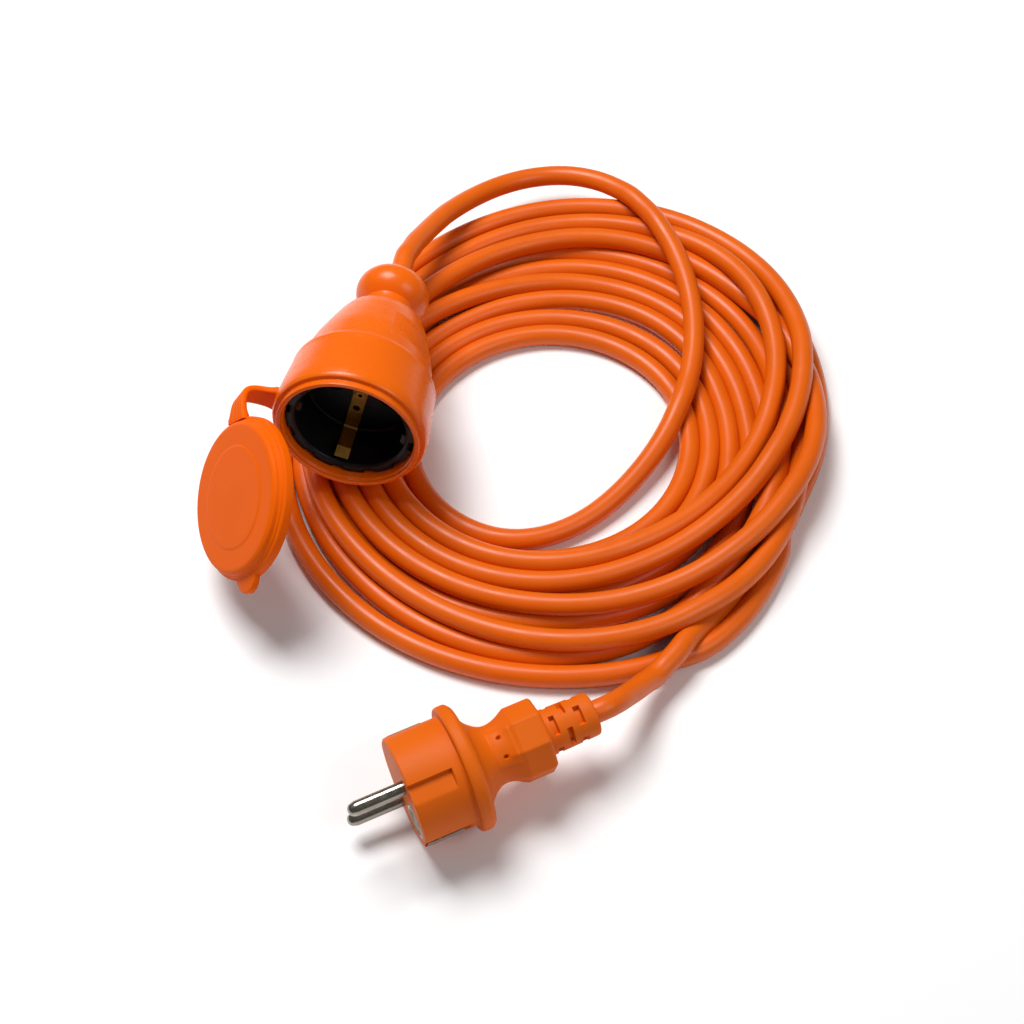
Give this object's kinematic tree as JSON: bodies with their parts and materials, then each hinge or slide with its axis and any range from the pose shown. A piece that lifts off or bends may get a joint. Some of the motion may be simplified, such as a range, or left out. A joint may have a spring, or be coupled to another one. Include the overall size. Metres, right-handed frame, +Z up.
{
  "type": "extension cord",
  "caption": "Outdoor mains extension cord: earthed coupling with a hinged flap lid, loosely coiled rubber cord and moulded earthed plug",
  "frame": {"origin": "bottom centre of the box round the coupling, its lid and the plug, on the floor that the coil and the plug lie on", "axes": "+Z up; +Y from the plug towards the far side of the coil; +X to the right as seen with the plug nearest; the mouth looks towards -Y"},
  "size_m": [0.2262, 0.303, 0.0727],
  "materials": {
    "moulding": "moulded orange PVC, satin gloss",
    "sheath": "extruded orange sheath, satin",
    "insert": "black moulded polyamide",
    "bridge": "grey moulded polyamide",
    "brass": "stamped brass",
    "nickel": "nickel plated brass",
    "core_brown": "brown core insulation",
    "core_blue": "blue core insulation",
    "core_green_yellow": "green and yellow core insulation"
  },
  "bodies": {
    "cord_set": {"coupling_body": "moulding", "socket_insert": "insert", "contact_cover": "insert", "earth_strip": "brass", "earth_rivet": "brass", "socket_live_contact": "brass", "socket_live_ferrule": "brass", "socket_live_core": "core_brown", "socket_neutral_contact": "brass", "socket_neutral_ferrule": "brass", "socket_neutral_core": "core_blue", "socket_earth_ferrule": "brass", "socket_earth_core": "core_green_yellow", "socket_sheath_end": "sheath", "strap_bell_half": "moulding", "plug_body": "moulding", "pin_bridge": "bridge", "earth_side_clips": "nickel", "earth_receptacle": "nickel", "plug_live_pin": "nickel", "plug_live_core": "core_brown", "plug_neutral_pin": "nickel", "plug_neutral_core": "core_blue", "plug_earth_core": "core_green_yellow", "plug_sheath_end": "sheath", "cord_coil": "sheath", "coupling_lead": "sheath", "plug_lead": "sheath"},
    "lid": {"flap_lid": "moulding", "strap_lid_half": "moulding"}
  },
  "joints": [
    {"name": "lid_hinge", "type": "hinge", "parent": "cord_set", "child": "lid", "pos_m": [-0.04954, 0.04268, 0.04857], "axis": [-0.1414, 0.4508, -0.8814], "range_deg": [-73, 0]}
  ]
}
